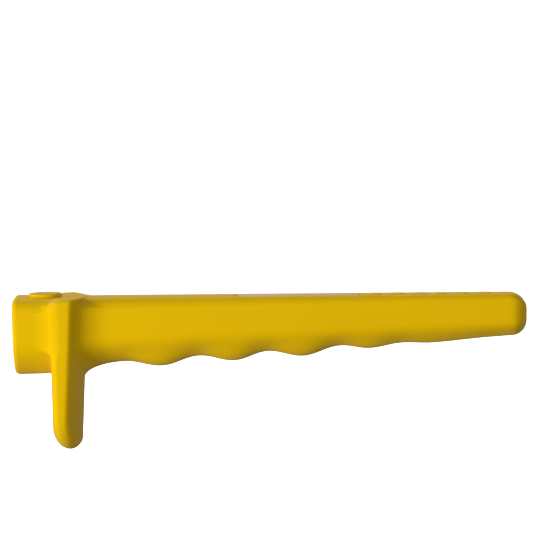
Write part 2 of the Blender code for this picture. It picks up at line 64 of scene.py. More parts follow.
# Read from the frame
BODY_LOW, BODY_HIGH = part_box("handle_body")
MOUTH = BODY_LOW.x              # the frame's x of the mouth plane
HANDLE_LENGTH = BODY_HIGH.x - BODY_LOW.x
GUARD_HALF_WIDTH = BODY_HIGH.y
GUARD_DROP = -BODY_LOW.z
BUTTON_LOW, BUTTON_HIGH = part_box("lock_button")
BUTTON_X = (BUTTON_LOW.x + BUTTON_HIGH.x) / 2 - MOUTH
BUTTON_RADIUS = (BUTTON_HIGH.y - BUTTON_LOW.y) / 2
SLEEVE_LOW, SLEEVE_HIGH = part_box("socket_sleeve")
SEAL_LOW, SEAL_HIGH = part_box("mouth_seal")
TUBE_LOW, TUBE_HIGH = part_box("core_tube")
SPRING_LOW, SPRING_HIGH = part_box("button_spring")
WASHER_LOW, WASHER_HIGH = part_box("spring_seat")
BUFFER_LOW, BUFFER_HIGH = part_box("shank_buffer")

# Flat side and the line that the sections are drawn round
FLAT_HEIGHT = 14.7 * MM         # flat thumb side above the axis, at the mouth
FLAT_SLOPE = 0.0176             # its fall towards the grip's end
GRIP_RISE = 0.0122              # rise of the centre line along the grip
RISE_START = 24 * MM            # station where the centre line turns straight

# Socket
SOCKET_HALF_WIDTH = 15 * MM
SOCKET_DROP = 14.05 * MM
SOCKET_CORNER = 6.5 * MM
SOCKET_SLIM = 0.035             # how much leaner than an ellipse its underside is
LIP_LENGTH = 1.8 * MM           # rounding of the mouth's edge: along the axis,
LIP_DEPTH = 1.3 * MM            # and across it
WALL = 2.9 * MM
CAVITY_DEPTH = 24 * MM

# Guard: its outline
GUARD_TOP = 14.45 * MM
GUARD_TOP_CORNER = 2 * MM
GUARD_TIP_CORNER = 13.5 * MM
LEAST_FACING = 0.35             # limits how far a slanting cut stretches a rounding

# Guard: its front face, which leans back where it stands out little from the socket
FRONT_X = 13.3 * MM
FRONT_BOW = 1.1 * MM            # how far it sweeps back at the sides
FRONT_FILLET = 3.9 * MM         # hollow between the socket and a leaning face
LEAN_FULL = 2.6 * MM            # height of the face up to which it leans fully,
LEAN_NONE = 5 * MM              # and from which it stands upright
LEAN_SHIFT = 1.1 * MM           # how far back the edge of a leaning face lies,
TOP_SHIFT = 1.6 * MM            # and how much farther along the guard's top
LEAN_RUN = 1.2                  # way along the axis of a leaning face, per height

# Guard: its rear face and the long hollow down to the grip
REAR_X = 25.75 * MM
REAR_BOW = 5.45 * MM            # how far it sweeps forward at the sides
REAR_DRAFT = 0.06               # its way forward, per depth below the socket
REAR_FILLET_LENGTH = 14 * MM    # length of the hollow: at most,
REAR_FILLET_LEAST = 1 * MM      # at least,
REAR_FILLET_SPREAD = 3.5        # and its growth with the hollow's height
REAR_FILLET_HEIGHT = 4.8 * MM
REAR_FILLET_SHARE = 0.98        # of the rear face that the hollow may take up

# Guard: roundings of its edge, each as its way along the axis and its height
SIDE_FRONT_ROUND = 2.1 * MM
SIDE_FRONT_HEIGHT = 2.1 * MM
SIDE_REAR_ROUND = 1.3 * MM
SIDE_REAR_HEIGHT = 1.3 * MM
TIP_FRONT_ROUND = 6.5 * MM
TIP_FRONT_HEIGHT = 8.5 * MM
TIP_REAR_ROUND = 3.8 * MM       # both its way along the axis and its height

# Grip
GRIP_START = 34 * MM            # station whose section the guard's rear face stands on
GRIP_X = 40 * MM                # station that the half-width holds at
GRIP_HALF_WIDTH = 10.9 * MM
GRIP_TAPER = 0.02
FLAT_HALF_WIDTH = 5.35 * MM     # of the flat between the section's rounded corners
LEAST_CORNER = 2 * MM
GRIP_SLIM = 0.085               # how much leaner than an ellipse the finger side is
FINGER_X = 37 * MM              # station that the base line's drop holds at
FINGER_DROP = 11.4 * MM
FINGER_SLOPE = 0.048
# Hollows and crests of the finger side: station, and how far it stands out off its base line (mm)
FINGER_WAVE = (
    (30, -1.0), (40.3, -1.0), (54.6, 1.7), (68, -1.0), (81.5, 1.75), (93.6, -0.8), (107, 1.95),
    (120.5, -0.88), (132, 0.9), (143.3, -0.25), (155, 0.55), (178, 0), (200, 0),
)
END_TOP_ROUND = 6.3 * MM
END_BOTTOM_ROUND = 5.2 * MM
END_CAP_SHARES = (0.8, 0.55, 0.3, 0.1)      # rings of the end's face, as shares of its radius

# Hollow core of the grip
CORE_END = 180 * MM
CORE_WALL = 2.6 * MM
CORE_DROP = 8.1 * MM
CORE_SLOPE = 0.0397

# Flat side: recess, label and raised dashes
RECESS_START = 82.4 * MM
RECESS_END = 128.2 * MM
RECESS_WIDTH = 9 * MM
RECESS_DEPTH = 0.8 * MM
RECESS_CORNER = 1.4 * MM
RECESS_CUTTER_TOP = 2 * MM
LABEL_THICKNESS = 0.4 * MM
LABEL_SINK = 0.1 * MM
LABEL_SOFT = 0.1 * MM
DASH_STARTS = (131.5, 139.5, 147.5, 155.5, 163.5, 171.5)    # stations (mm)
DASH_LENGTH = 5 * MM
DASH_WIDTH = 5.2 * MM
DASH_CORNER = 1.2 * MM
DASH_HEIGHT = 0.35 * MM
DASH_SOFT = 0.8 * DASH_HEIGHT
DASH_ROOT = 0.5 * MM
EDGE_SOFT = 0.25 * MM           # rounding of the moulding's small edges

# Button
BUTTON_NECK = 5.1 * MM
BUTTON_LIP = 5.8 * MM
BUTTON_LIP_EDGE = 0.6 * MM
BUTTON_LIP_TAPER = 0.4 * MM
BUTTON_BORE = 3.9 * MM
BUTTON_CROWN = 1.6 * MM
BUTTON_EDGE = 0.5 * MM
BUTTON_SOFT = 0.15 * MM         # rounding of its hidden edges
DISH_DEPTH = 0.12 * MM
DISH_RADIUS = BUTTON_RADIUS - 1.6 * BUTTON_EDGE

# Latch loop
PLATE_TOP = 11.1 * MM
PLATE_THICKNESS = 1.2 * MM
PLATE_LOW = PLATE_TOP - PLATE_THICKNESS
PLATE_LENGTH = 15 * MM
PLATE_CORNER = 0.8 * MM
LEG_LENGTH = 6 * MM
LOOP_INNER = 7.9 * MM
LOOP_OUTER = 9.1 * MM
LOOP_CHAMFER = 1.6 * MM
LOOP_SOFT = 0.15 * MM
CATCH_TOP = -5 * MM
CATCH_HALF_WIDTH = 2.5 * MM
CATCH_LENGTH = 4 * MM
CATCH_LEAD = 1.2 * MM
CATCH_ROOT = 0.5 * MM
CATCH_SOFT = 0.3 * MM

# Sleeve and seal
SLEEVE_TOP = 6.2 * MM
SLEEVE_RADIUS = 7.4 * MM
SLEEVE_WALL = 1.2 * MM
SLEEVE_CORNER = 2.2 * MM
SLEEVE_SOFT = 0.3 * MM
SLOT_CORNER = 0.5 * MM
BORE_CORNER = 1.2 * MM
COLLAR_THICKNESS = 1.4 * MM
SEAL_WIDTH = 1.0 * MM
SEAL_SOFT = 0.3 * MM

# Buffer, tube, washer and spring
PAD_HEIGHT = 1 * MM
BUFFER_LENGTH = 6 * MM
BUFFER_SOFT = 0.35 * MM
SPIGOT_RADIUS = 4.5 * MM
TUBE_WALL = 1.2 * MM
TUBE_SOFT = 0.2 * MM
WASHER_THICKNESS = 0.7 * MM
WASHER_SOFT = 0.2 * MM
BOSS_RADIUS = 2.2 * MM
WIRE_RADIUS = 0.35 * MM
COIL_TURNS = 4.5
END_COIL_RISE = 2.2 * WIRE_RADIUS

# Fineness of the meshes, as numbers of steps
ROUND = 96                      # round a small round piece
BUTTON_ROUND = 128
D_STEPS = 120                   # round a D section
BEND_STEPS = 48                 # round the latch loop's bend
COIL_STEPS = 32                 # along each turn of the spring,
WIRE_STEPS = 12                 # and round its wire
SLEEVE_STEPS = 10               # along the sleeve
CORE_STEPS = 20                 # along the grip's core,
CAVITY_STEPS = 12               # and along the socket's cavity
# The outer skin: steps that each stretch is drawn with, and that its mesh keeps
DRAWN = {"lip": 12, "wall": 12, "corner": 16, "front": 12, "rear": 16, "fillet": 24, "grip": 150,
         "end": 20}
KEPT = {"wall": 18, "front": 34, "rear": 44, "grip": 116, "end": 12}
BEND_LENGTH = 3 * MM            # length that a bend of one radian counts for among them,
GRIP_BEND_LENGTH = 1 * MM       # and along the grip
# Degrees between the skin's lines: first, last, step; the first band that fits is taken
RING_BANDS = ((42, 54, 0.75), (30, 70, 1.5), (145, 180, 1.5), (0, 180, 2.5))

SHARP = 35                      # degrees from which a moulded edge is shaded sharp,
STEEL_SHARP = 30                # and a steel one


# ---------------------------------------------------------------- sections

def rounded_rectangle(across, along, half_width, reach, corner):
    """Distance from the centre to a rounded corner's outline, in the direction (across, along)."""
    flat_end = half_width - corner
    side_end = reach - corner
    if across * reach <= along * flat_end:
        return reach / along
    if along * half_width <= across * side_end:
        return half_width / across
    offset = across * side_end - along * flat_end
    middle = across * flat_end + along * side_end
    return middle + math.sqrt(max(0.0, corner ** 2 - offset ** 2))


def d_section(across, along, half_width, top, bottom, corner, slim=0.0):
    """A D on its back: flat on top with rounded corners, below half an oval, leaner by slim."""
    if along <= 0:
        oval = 1 / math.hypot(across / half_width, along / bottom)
        return oval * (1 - slim * (2 * across * along) ** 2)
    return rounded_rectangle(across, along, half_width, top, corner)


def eased(share):
    """The share from 0 to 1 on a half cosine, level at both ends."""
    share = min(1.0, max(0.0, share))
    return (1 - math.cos(math.pi * share)) / 2


def finger_wave(x):
    """Height of the finger side off its base line, eased from each hollow to the next crest."""
    for (x0, h0), (x1, h1) in zip(FINGER_WAVE, FINGER_WAVE[1:]):
        if x <= x1 * MM:
            return (h0 + (h1 - h0) * eased((x / MM - x0) / (x1 - x0))) * MM
    return 0.0


def centre_height(x):
    """Height of the line that the sections are drawn round."""
    if x < RISE_START:
        return GRIP_RISE * x * x / (2 * RISE_START)
    return GRIP_RISE * (x - RISE_START / 2)


def flat_height(x):
    """Height of the flat thumb side above the axis."""
    return FLAT_HEIGHT - FLAT_SLOPE * x


def grip_half_width(x):
    """Half the grip's width at station x."""
    return GRIP_HALF_WIDTH - GRIP_TAPER * (x - GRIP_X)


# Radii of the sections at station x, in the direction (across, along)

def socket_radius(x, across, along):
    rise = centre_height(x)
    return d_section(across, along, SOCKET_HALF_WIDTH, flat_height(x) - rise, SOCKET_DROP + rise,
                     SOCKET_CORNER, SOCKET_SLIM)


def grip_radius(x, across, along):
    rise = centre_height(x)
    drop = FINGER_DROP - FINGER_SLOPE * (x - FINGER_X) + finger_wave(x)
    width = grip_half_width(x)
    corner = max(LEAST_CORNER, width - FLAT_HALF_WIDTH)
    return d_section(across, along, width, flat_height(x) - rise, drop + rise, corner, GRIP_SLIM)


def guard_radius(across, along):
    if along <= 0:
        return rounded_rectangle(across, -along, GUARD_HALF_WIDTH, GUARD_DROP, GUARD_TIP_CORNER)
    return rounded_rectangle(across, along, GUARD_HALF_WIDTH, GUARD_TOP, GUARD_TOP_CORNER)


def core_radius(x, across, along):
    rise = centre_height(x)
    drop = CORE_DROP - CORE_SLOPE * (x - CAVITY_DEPTH)
    width = grip_half_width(x) - CORE_WALL
    return d_section(across, along, width, flat_height(x) - WALL - rise, drop + rise, width / 2)


def cavity_radius(x, across, along):
    rise = centre_height(x)
    return d_section(across, along, SOCKET_HALF_WIDTH - WALL, flat_height(x) - WALL - rise,
                     SOCKET_DROP - WALL + rise, SOCKET_CORNER - WALL)


# ---------------------------------------------------------------- profile of the moulding

def quarter(steps):
    """(sine, cosine) pairs from just after 0 to 90 degrees."""
    return [(math.sin(k / steps * math.pi / 2), math.cos(k / steps * math.pi / 2))
            for k in range(1, steps + 1)]


def whole_quarter(steps):
    """The same with the pair at 0 degrees."""
    return [(0.0, 1.0)] + quarter(steps)


def spaced(start, end, steps):
    """Evenly spaced values after start, up to and with end."""
    return [start + (end - start) * k / steps for k in range(1, steps + 1)]


def resampled(points, count, bend=BEND_LENGTH):
    """The same line with count even steps, closer together where it bends."""
    line = np.array(points)
    steps = np.diff(line, axis=0)
    length = np.hypot(steps[:, 0], steps[:, 1])
    keep = np.concatenate(([True], length > TINY))
    line = line[keep]
    steps = np.diff(line, axis=0)
    length = np.hypot(steps[:, 0], steps[:, 1])
    heading = np.unwrap(np.arctan2(steps[:, 1], steps[:, 0]))
    turn = np.abs(np.diff(heading))
    weight = length.copy()
    weight[:-1] += bend * turn / 2
    weight[1:] += bend * turn / 2
    along = np.concatenate(([0.0], np.cumsum(weight)))
    wanted = np.linspace(0, along[-1], count + 1)
    return np.stack([np.interp(wanted, along, line[:, k]) for k in range(2)], axis=1)


def outline_normal(across, along, radius, half_width, reach, corner):
    """Outward direction of a rounded rectangle's outline at a point of it."""
    side = max(0.0, radius * across - half_width + corner)
    end = max(0.0, radius * along - reach + corner)
    length = math.hypot(side, end)
    return side / length, end / length


def rounded_corner(before, corner, after):
    """Points of a rounded corner, from just after before up to and with after."""
    return [tuple(c + (b - c) * (1 - s) + (a - c) * (1 - t)
                  for b, c, a in zip(before, corner, after))
            for s, t in quarter(DRAWN["corner"])]


def outer_profile(angle):
    """(x, radius) points of the outer skin in one direction, from the mouth to the grip's end."""
    across = abs(math.sin(angle))
    along = math.cos(angle)
    root = socket_radius(FRONT_X, across, along)
    foot = grip_radius(GRIP_START, across, along)
    edge = guard_radius(across, along)
    if along > 0:
        side, end = outline_normal(across, along, edge, GUARD_HALF_WIDTH, GUARD_TOP,
                                   GUARD_TOP_CORNER)
        tip, top = 0.0, end ** 2
    else:
        side, end = outline_normal(across, -along, edge, GUARD_HALF_WIDTH, GUARD_DROP,
                                   GUARD_TIP_CORNER)
        tip, top = end ** 2, 0.0
    stretch = 1 / max(LEAST_FACING, side * across + end * abs(along))
    front_height = max(0.0, edge - root)
    rear_height = max(0.0, edge - foot)
    lean = 1 - eased((front_height - LEAN_FULL) / (LEAN_NONE - LEAN_FULL))
    edge = max(edge, root)

    def front_face(r):
        upright = FRONT_X + FRONT_BOW * (r * across / GUARD_HALF_WIDTH) ** 2
        return upright + lean * (LEAN_SHIFT + TOP_SHIFT * top - LEAN_RUN * (edge - r))

    def rear_face(r):
        below = -r * along - SOCKET_DROP
        return REAR_X - REAR_BOW * (r * across / GUARD_HALF_WIDTH) ** 2 - REAR_DRAFT * below

    # Socket wall, up to the hollow that leads to the guard's front face
    hollow = GAP + FRONT_FILLET * lean
    hollow_height = min(hollow, front_height / 2)
    heel = front_face(root)
    wall = [(LIP_LENGTH * (1 - c), socket_radius(0, across, along) - LIP_DEPTH * (1 - s))
            for s, c in whole_quarter(DRAWN["lip"])]
    wall += [(x, socket_radius(x, across, along))
             for x in spaced(LIP_LENGTH, heel - hollow, DRAWN["wall"])]

    # Front face and its rounded edge
    reach = (SIDE_FRONT_HEIGHT * (1 - tip) + TIP_FRONT_HEIGHT * tip) * stretch
    reach = min(reach, front_height / 2)
    run = SIDE_FRONT_ROUND * (1 - tip) + TIP_FRONT_ROUND * tip
    brow = front_face(edge)
    front = [wall[-1]]
    hollow_top = root + hollow_height
    front += rounded_corner(wall[-1], (heel, root), (front_face(hollow_top), hollow_top))
    front += [(front_face(r), r) for r in spaced(hollow_top, edge - reach, DRAWN["front"])]
    front += rounded_corner(front[-1], (brow, edge), (brow + run, edge))

    # Rounded rear edge, rear face and the long hollow down to the grip
    back = rear_face(edge)
    run = min(SIDE_REAR_ROUND * (1 - tip) + TIP_REAR_ROUND * tip, back - front[-1][0])
    reach = min(TIP_REAR_ROUND * tip + SIDE_REAR_HEIGHT * (1 - tip) * stretch, rear_height / 2)
    rear = [front[-1], (back - run, edge)]
    shoulder = edge - reach
    rear += rounded_corner(rear[-1], (back, edge), (rear_face(shoulder), shoulder))
    rise = min(REAR_FILLET_HEIGHT, REAR_FILLET_SHARE * (rear_height - reach))
    rear += [(rear_face(r), r) for r in spaced(shoulder, foot + rise, DRAWN["rear"])]
    start = rear_face(foot + rise)
    length = min(REAR_FILLET_LENGTH, REAR_FILLET_LEAST + REAR_FILLET_SPREAD * rise)
    for s, c in quarter(DRAWN["fillet"]):
        x = start + length * (1 - c)
        rear.append((x, grip_radius(max(x, REAR_X), across, along) + rise * (1 - s)))

    # Grip, its rounded end and the end's face
    end_round = END_BOTTOM_ROUND + (END_TOP_ROUND - END_BOTTOM_ROUND) * (1 + along) / 2
    last = HANDLE_LENGTH - end_round
    grip = [rear[-1]]
    grip += [(x, grip_radius(x, across, along))
             for x in spaced(start + length, last, DRAWN["grip"])]
    end = [grip[-1]]
    for s, c in quarter(DRAWN["end"]):
        x = last + end_round * s
        end.append((x, grip_radius(x, across, along) - end_round * (1 - c)))
    end_radius = end[-1][1]
    cap = [(HANDLE_LENGTH, end_radius * share) for share in END_CAP_SHARES]
    return np.concatenate([
        resampled(wall, KEPT["wall"]), resampled(front, KEPT["front"])[1:],
        resampled(rear, KEPT["rear"])[1:], resampled(grip, KEPT["grip"], GRIP_BEND_LENGTH)[1:],
        resampled(end, KEPT["end"])[1:], cap,
    ])


def inner_profile(angle):
    """(x, radius) points of the hollow in one direction, from the core's end out to the mouth."""
    across = abs(math.sin(angle))
    along = math.cos(angle)
    points = [(x, core_radius(x, across, along))
              for x in [CORE_END] + spaced(CORE_END, CAVITY_DEPTH, CORE_STEPS)]
    points += [(x, cavity_radius(x, across, along))
               for x in [CAVITY_DEPTH] + spaced(CAVITY_DEPTH, EDGE_SOFT, CAVITY_STEPS)]
    rim = cavity_radius(0, across, along)
    points += [(EDGE_SOFT * c, rim + EDGE_SOFT * (1 - c)) for _, c in quarter(4)]
    return points


def ring_angles():
    """Directions round the axis, closer together at the guard's corners and tip."""
    half = [0.0]
    while half[-1] < 180:
        at = half[-1]
        step = next(step for first, last, step in RING_BANDS if first <= at < last)
        half.append(min(180.0, at + step))
    full = half + [360 - a for a in reversed(half[1:-1])]
    return [math.radians(a) for a in full]


# ---------------------------------------------------------------- mesh helpers

def shaded(mesh, material, sharp):
    """One material, and smooth shading apart from the sharp edges."""
    mesh.materials.clear()
    mesh.materials.append(material)
    mesh.shade_smooth()
    mesh.set_sharp_from_angle(angle=math.radians(sharp))


def finished(name, bm, material=None, body=None, sharp=SHARP):
    """Makes a piece of a bmesh, moved from stations to the frame's own x."""
    bmesh.ops.translate(bm, vec=(MOUTH, 0, 0), verts=bm.verts)
    bmesh.ops.recalc_face_normals(bm, faces=bm.faces)
    mesh = bpy.data.meshes.new(name)
    bm.to_mesh(mesh)
    bm.free()
    made = bpy.data.objects.new(name, mesh)
    bpy.context.scene.collection.objects.link(made)
    if material:
        shaded(mesh, material, sharp)
    if body:
        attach(made, body)
    return made


def ring_loft(rings, closed=False):
    """A skin through rings of equal length: capped at both ends, or joined end to end."""
    bm = bmesh.new()
    made = [[bm.verts.new(p) for p in ring] for ring in rings]
    count = len(made[0])
    pairs = list(zip(made, made[1:]))
    if closed:
        pairs.append((made[-1], made[0]))
    for first, second in pairs:
        for i in range(count):
            j = (i + 1) % count
            bm.faces.new((first[i], first[j], second[j], second[i]))
    if not closed:
        bm.faces.new(made[0])
        bm.faces.new(made[-1])
    return bm


def d_ring(x, half_width, top, bottom, corner):
    """Points of a D section round the axis at station x."""
    ring = []
    for angle in spaced(0, 2 * math.pi, D_STEPS):
        across, along = math.sin(angle), math.cos(angle)
        r = d_section(abs(across), along, half_width, top, bottom, corner)
        ring.append((x, r * across, r * along))
    return ring


def lathe(profile, centre=(0, 0), steps=ROUND):
    """A closed (radius, height) outline turned round an upright axis; radius 0 ends are closed."""
    bm = bmesh.new()
    rings = []
    for r, z in profile:
        if r < TINY:
            rings.append([bm.verts.new((centre[0], centre[1], z))])
            continue
        rings.append([bm.verts.new((centre[0] + r * math.cos(a), centre[1] + r * math.sin(a), z))
                      for a in spaced(0, 2 * math.pi, steps)])
    pairs = list(zip(rings, rings[1:]))
    if len(rings[0]) > 1 and len(rings[-1]) > 1:
        pairs.append((rings[-1], rings[0]))
    for first, second in pairs:
        for i in range(steps):
            j = (i + 1) % steps
            corners = [first[i % len(first)], first[j % len(first)],
                       second[j % len(second)], second[i % len(second)]]
            unique = list(dict.fromkeys(corners))
            if len(unique) > 2:
                bm.faces.new(unique)
    return bm


def softened(points, radius, steps=4, closed=True):
    """A line of 2-D points with each corner rounded, by at most a third of its shorter side."""
    result = []
    count = len(points)
    for k, point in enumerate(points):
        if not closed and k in (0, count - 1):
            result.append(tuple(point))
            continue
        here = Vector(point)
        before = Vector(points[k - 1]) - here
        after = Vector(points[(k + 1) % count]) - here
        reach = min(radius, before.length / 3, after.length / 3)
        start = here + before.normalized() * reach
        end = here + after.normalized() * reach
        for step in range(steps + 1):
            t = step / steps
            curve = start * (1 - t) ** 2 + here * 2 * t * (1 - t) + end * t ** 2
            result.append(tuple(curve))
    return result


def cushion(outline_at, levels):
    """A block whose outline changes with height: levels are (inset, height) pairs."""
    return ring_loft([[(x, y, z) for x, y in outline_at(inset)] for inset, z in levels])


def rounded_outline(start, end, width, corner, inset=0.0, steps=8):
    """A long rounded rectangle in plan, drawn in by the inset."""
    low_x, high_x = start + inset, end - inset
    half = width / 2 - inset
    corner = max(0.05 * MM, corner - inset)
    points = []
    for cx, cy, turn in ((high_x - corner, half - corner, 0), (low_x + corner, half - corner, 1),
                         (low_x + corner, corner - half, 2), (high_x - corner, corner - half, 3)):
        for k in range(steps + 1):
            a = math.pi / 2 * (turn + k / steps)
            points.append((cx + corner * math.cos(a), cy + corner * math.sin(a)))
    return points


def on_flat(bm):
    """Lays a block drawn on a level plane onto the sloping flat side."""
    tilt = Matrix.Translation((0, 0, FLAT_HEIGHT)) @ Matrix.Rotation(math.atan(FLAT_SLOPE), 4, "Y")
    bmesh.ops.transform(bm, matrix=tilt, verts=bm.verts)
    return bm


def joined(parts):
    """Several bmeshes as one."""
    bm = bmesh.new()
    for part in parts:
        mesh = bpy.data.meshes.new("part")
        part.to_mesh(mesh)
        part.free()
        bm.from_mesh(mesh)
        bpy.data.meshes.remove(mesh)
    return bm


def cut(target, bm, operation="DIFFERENCE"):
    """Applies a Boolean with a block to the target's own mesh."""
    tool = finished("cutter", bm)
    made = target.modifiers.new("cut", "BOOLEAN")
    made.operation = operation
    made.solver = "EXACT"
    made.object = tool
    bpy.context.view_layer.update()
    result = bpy.data.meshes.new_from_object(
        target.evaluated_get(bpy.context.evaluated_depsgraph_get()))
    target.modifiers.remove(made)
    target.data = result
    bpy.data.objects.remove(tool)


# ---------------------------------------------------------------- materials

class Nodes:
    """A material's node tree, with short calls for the nodes that the materials share."""

    def __init__(self, name):
        self.material = bpy.data.materials.new(name)
        self.material.use_nodes = True
        self.tree = self.material.node_tree
        self.shader = self.tree.nodes["Principled BSDF"]
        self.place = self.node("ShaderNodeTexCoord").outputs["Object"]

    def node(self, kind, **settings):
        made = self.tree.nodes.new(kind)
        for key, value in settings.items():
            setattr(made, key, value)
        return made

    def link(self, source, target):
        self.tree.links.new(source, target)

    def noise(self, scale, detail=2.0, roughness=0.5, stretch=None):
        """Noise with features of about 1/scale metres, drawn out by the stretch factors."""
        place = self.place
        if stretch:
            mapping = self.node("ShaderNodeMapping")
            mapping.inputs["Scale"].default_value = stretch
            self.link(place, mapping.inputs["Vector"])
            place = mapping.outputs["Vector"]
        made = self.node("ShaderNodeTexNoise")
        made.inputs["Scale"].default_value = scale
        made.inputs["Detail"].default_value = detail
        made.inputs["Roughness"].default_value = roughness
        self.link(place, made.inputs["Vector"])
        return made.outputs["Fac"]

    def ranged(self, value, low, high, start=0.0, end=1.0):
        """The value from start..end spread over low..high, and held there."""
        made = self.node("ShaderNodeMapRange")
        for key, number in (("From Min", start), ("From Max", end), ("To Min", low),
                            ("To Max", high)):
            made.inputs[key].default_value = number
        self.link(value, made.inputs["Value"])
        return made.outputs["Result"]

    def share(self, value, start=0.3, end=0.7):
        """The value's place between start and end, from 0 to 1."""
        return self.ranged(value, 0, 1, start, end)

    def mixed(self, share, first, second):
        """A colour between two colours or colour sockets."""
        made = self.node("ShaderNodeMix", data_type="RGBA")
        self.link(share, made.inputs["Factor"])
        for key, colour in (("A", first), ("B", second)):
            target = [s for s in made.inputs if s.name == key and s.type == "RGBA"][0]
            if isinstance(colour, tuple):
                target.default_value = (*colour, 1)
            else:
                self.link(colour, target)
        return [s for s in made.outputs if s.type == "RGBA"][0]

    def maths(self, operation, first, second):
        """A sum or product of two values or value sockets."""
        made = self.node("ShaderNodeMath", operation=operation)
        for socket, value in zip(made.inputs, (first, second)):
            if isinstance(value, (int, float)):
                socket.default_value = value
            else:
                self.link(value, socket)
        return made.outputs[0]

    def bump(self, height, distance):
        """Lets the surface stand out by up to the distance, as the height says."""
        made = self.node("ShaderNodeBump")
        made.inputs["Distance"].default_value = distance
        self.link(height, made.inputs["Height"])
        self.link(made.outputs["Normal"], self.shader.inputs["Normal"])

    def finish(self, colour, roughness, metallic=0.0, specular=0.5):
        """Sets the shader's inputs; the colour and the roughness are sockets."""
        self.link(colour, self.shader.inputs["Base Color"])
        self.link(roughness, self.shader.inputs["Roughness"])
        self.shader.inputs["Metallic"].default_value = metallic
        self.shader.inputs["Specular IOR Level"].default_value = specular
        return self.material


# Linear colours, as the two that a noise runs between, or as one laid over them
YELLOW = (0.76, 0.462, 0.0), (0.8, 0.492, 0.0)
RUBBED_YELLOW = (0.86, 0.56, 0.02)
YELLOW_GLOSS = (1, 0.78, 0.25, 1)
FILM = (0.68, 0.5, 0.25), (0.74, 0.55, 0.29)
FILM_BLOTCH = (0.64, 0.46, 0.22)
STEEL = (0.5, 0.52, 0.55), (0.62, 0.6, 0.55)
WIRE = (0.42, 0.42, 0.44), (0.56, 0.55, 0.54)
RUBBER = (0.012, 0.012, 0.013), (0.035, 0.034, 0.033)
ALUMINIUM = (0.74, 0.75, 0.76), (0.86, 0.86, 0.86)
FLOOR_WHITE = (0.86, 0.86, 0.86), (0.88, 0.88, 0.88)
RUBBED_SHARE = 0.35             # how much of the rubbed colour shows at the most worn edge
COARSE_SHARE = 0.6              # height of the coarse grain, to the fine grain's
MATT_SPECULAR = 0.28


def moulded_yellow(name, rough_low, rough_high, grain):
    """Satin yellow moulding: faint flow marks, fine spark-eroded grain, edges rubbed lighter."""
    m = Nodes(name)
    flow = m.noise(scale=28, detail=3, stretch=(0.4, 1, 1))
    colour = m.mixed(m.share(flow, 0.35, 0.65), *YELLOW)
    edges = m.node("ShaderNodeNewGeometry").outputs["Pointiness"]
    rubbed = m.maths("MULTIPLY", m.share(edges, 0.53, 0.6), m.noise(scale=220, detail=3))
    colour = m.mixed(m.maths("MULTIPLY", rubbed, RUBBED_SHARE), colour, RUBBED_YELLOW)
    cloud = m.noise(scale=90, detail=4, roughness=0.6)
    rough = m.ranged(cloud, rough_low, rough_high, 0.3, 0.7)
    fine = m.noise(scale=2600, roughness=0.6)
    coarse = m.noise(scale=700)
    m.bump(m.maths("ADD", fine, m.maths("MULTIPLY", coarse, COARSE_SHARE)), grain)
    m.shader.inputs["Specular Tint"].default_value = YELLOW_GLOSS
    return m.finish(colour, rough, specular=MATT_SPECULAR)


def label_film():
    """Blank beige film with a fine brushed texture along the grip."""
    m = Nodes("label_film")
    lines = m.noise(scale=900, detail=3, roughness=0.6, stretch=(0.05, 1, 1))
    blotches = m.noise(scale=120, detail=3)
    colour = m.mixed(m.share(lines), *FILM)
    colour = m.mixed(m.ranged(blotches, 0, 0.5, 0.45, 0.75), colour, FILM_BLOTCH)
    m.bump(lines, 0.01 * MM)
    return m.finish(colour, m.ranged(blotches, 0.42, 0.55, 0.3, 0.7))


def plated_steel():
    """Zinc-plated sheet: cloudy sheen with a faint warm and cool cast, fine rolling lines."""
    m = Nodes("plated_steel")
    cloud = m.noise(scale=160, detail=4, roughness=0.6)
    colour = m.mixed(m.share(cloud, 0.35, 0.65), *STEEL)
    lines = m.noise(scale=1500, detail=3, roughness=0.6, stretch=(0.06, 1, 1))
    m.bump(lines, 0.006 * MM)
    return m.finish(colour, m.ranged(cloud, 0.26, 0.44, 0.3, 0.7), metallic=1.0)


def drawn_wire():
    """Spring wire: dull drawn steel with a light film of oil."""
    m = Nodes("drawn_wire")
    cloud = m.noise(scale=900, detail=3, roughness=0.6)
    colour = m.mixed(m.share(cloud, 0.35, 0.65), *WIRE)
    m.bump(m.noise(scale=5000), 0.004 * MM)
    return m.finish(colour, m.ranged(cloud, 0.22, 0.38, 0.3, 0.7), metallic=1.0)


def moulded_rubber():
    """Black rubber: matt, with a little bloom."""
    m = Nodes("moulded_rubber")
    bloom = m.noise(scale=300, detail=4, roughness=0.65)
    colour = m.mixed(m.share(bloom, 0.4, 0.75), *RUBBER)
    m.bump(m.noise(scale=3500, roughness=0.6), 0.02 * MM)
    return m.finish(colour, m.ranged(bloom, 0.62, 0.85, 0.3, 0.7), specular=MATT_SPECULAR)


def drawn_aluminium():
    """Aluminium tube as drawn: fine lines along its length."""
    m = Nodes("drawn_aluminium")
    lines = m.noise(scale=1800, detail=3, roughness=0.6, stretch=(0.03, 1, 1))
    colour = m.mixed(m.share(lines), *ALUMINIUM)
    m.bump(lines, 0.008 * MM)
    return m.finish(colour, m.ranged(lines, 0.28, 0.42, 0.3, 0.7), metallic=1.0)


# ---------------------------------------------------------------- pieces

